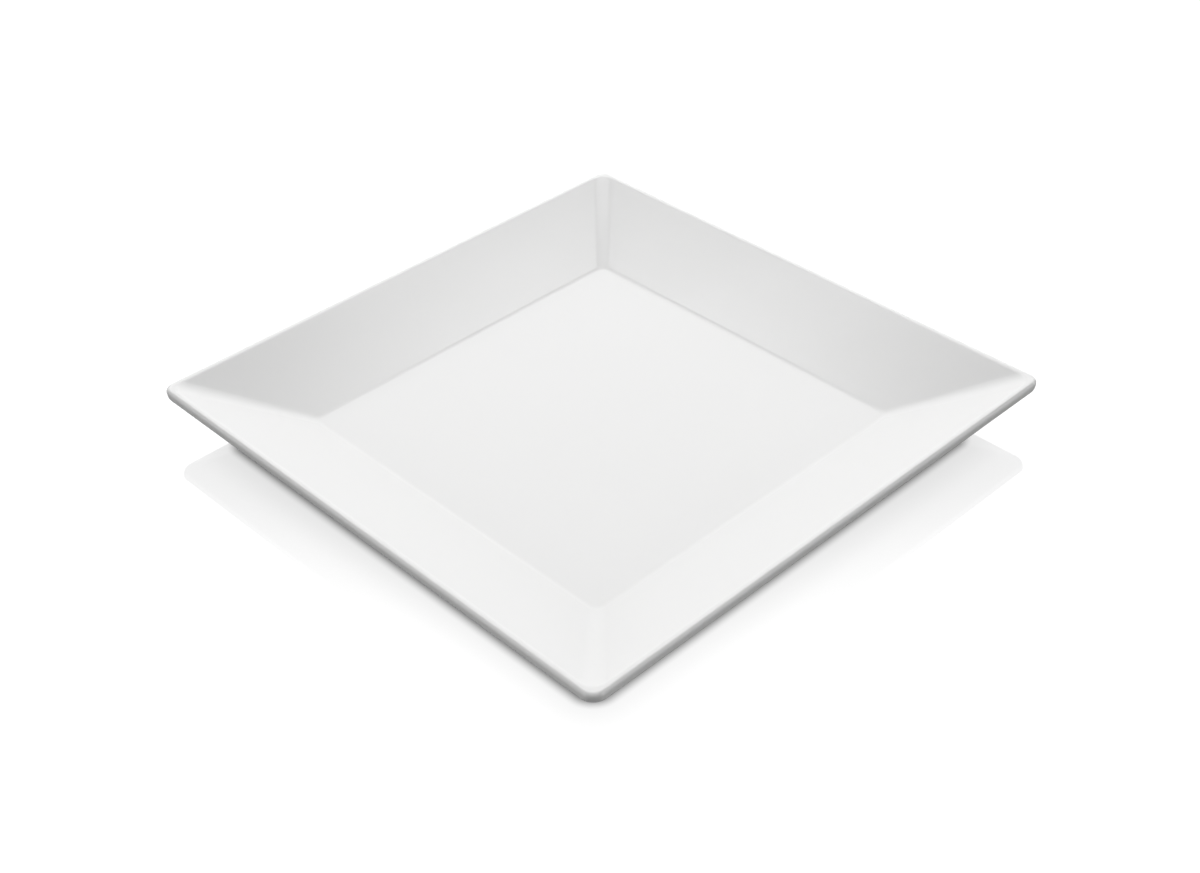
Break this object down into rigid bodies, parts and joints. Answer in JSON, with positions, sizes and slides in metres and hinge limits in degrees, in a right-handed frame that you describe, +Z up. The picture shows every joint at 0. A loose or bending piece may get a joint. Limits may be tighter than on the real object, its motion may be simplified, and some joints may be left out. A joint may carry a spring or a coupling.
{
  "type": "square serving plate",
  "caption": "Square serving plate with a flat well, wide sloping rim panels that meet in soft mitres, a rounded lip and a bare foot ring under glossy white glaze.",
  "frame": {"origin": "middle of the square that the foot ring stands on, on the table's surface", "axes": "+Z up through the middle of the well, +X and +Y square to the rim's sides"},
  "size_m": [0.3, 0.3, 0.0275],
  "materials": {
    "bare_porcelain": "matte",
    "white_glaze": "gloss"
  },
  "bodies": {
    "root": {"porcelain_body": "bare_porcelain", "upper_glaze": "white_glaze", "recess_glaze": "white_glaze"}
  },
  "joints": []
}
